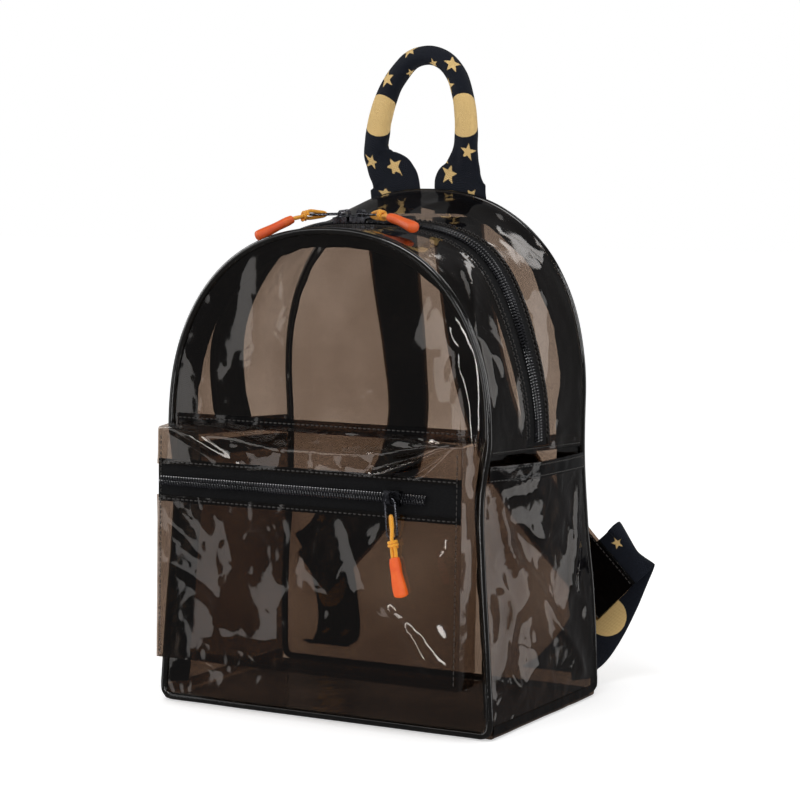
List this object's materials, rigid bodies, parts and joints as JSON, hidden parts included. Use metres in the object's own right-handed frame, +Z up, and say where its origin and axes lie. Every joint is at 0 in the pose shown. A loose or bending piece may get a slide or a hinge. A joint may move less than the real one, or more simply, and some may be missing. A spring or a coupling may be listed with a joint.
{
  "type": "clear backpack",
  "caption": "Small backpack of smoke-tinted clear film with a domed zip top, a zipped front pocket, side pockets, a webbing grab handle and shoulder straps.",
  "frame": {"origin": "centre of the underside of the base panel, where the bag stands", "axes": "+Z up from the base to the grab handle, -Y towards the front pocket, +X towards the bag's left side as worn"},
  "size_m": [0.2768, 0.2322, 0.4218],
  "materials": {
    "smoke_film": "glossy smoke-tinted clear vinyl film",
    "piping": "glossy dark piping",
    "zip_tape": "black woven tape",
    "zip_coil": "black moulded coil",
    "gunmetal": "dark plated metal",
    "pull_cord": "yellow-orange braided cord",
    "grip_rubber": "satin orange moulded grip",
    "webbing": "dark navy woven webbing with gold stars and plain discs"
  },
  "bodies": {
    "root": {"front_panel": "smoke_film", "back_panel": "smoke_film", "gusset_front": "smoke_film", "gusset_back": "smoke_film", "base_panel": "smoke_film", "side_panel_left": "smoke_film", "side_panel_right": "smoke_film", "side_pocket_left": "smoke_film", "side_pocket_right": "smoke_film", "side_pocket_hem_left": "smoke_film", "side_pocket_hem_right": "smoke_film", "pocket_side_left": "smoke_film", "pocket_side_right": "smoke_film", "pocket_face": "smoke_film", "pocket_top": "smoke_film", "pocket_floor": "smoke_film", "front_piping": "piping", "back_piping": "piping", "main_zip_tape": "zip_tape", "pocket_zip_tape": "zip_tape", "seam_binding_front": "zip_tape", "seam_binding_back": "zip_tape", "main_zip_coil": "zip_coil", "pocket_zip_coil": "zip_coil", "grab_handle": "webbing", "shoulder_strap_left": "webbing", "shoulder_strap_right": "webbing", "strap_webbing_left": "webbing", "strap_webbing_right": "webbing", "main_left_slider": "gunmetal", "main_left_pull_ring": "gunmetal", "main_left_pull_cord": "pull_cord", "main_left_pull_grip": "grip_rubber", "main_right_slider": "gunmetal", "main_right_pull_ring": "gunmetal", "main_right_pull_cord": "pull_cord", "main_right_pull_grip": "grip_rubber", "pocket_slider": "gunmetal", "pocket_pull_ring": "gunmetal", "pocket_pull_cord": "pull_cord", "pocket_pull_grip": "grip_rubber"}
  },
  "joints": []
}
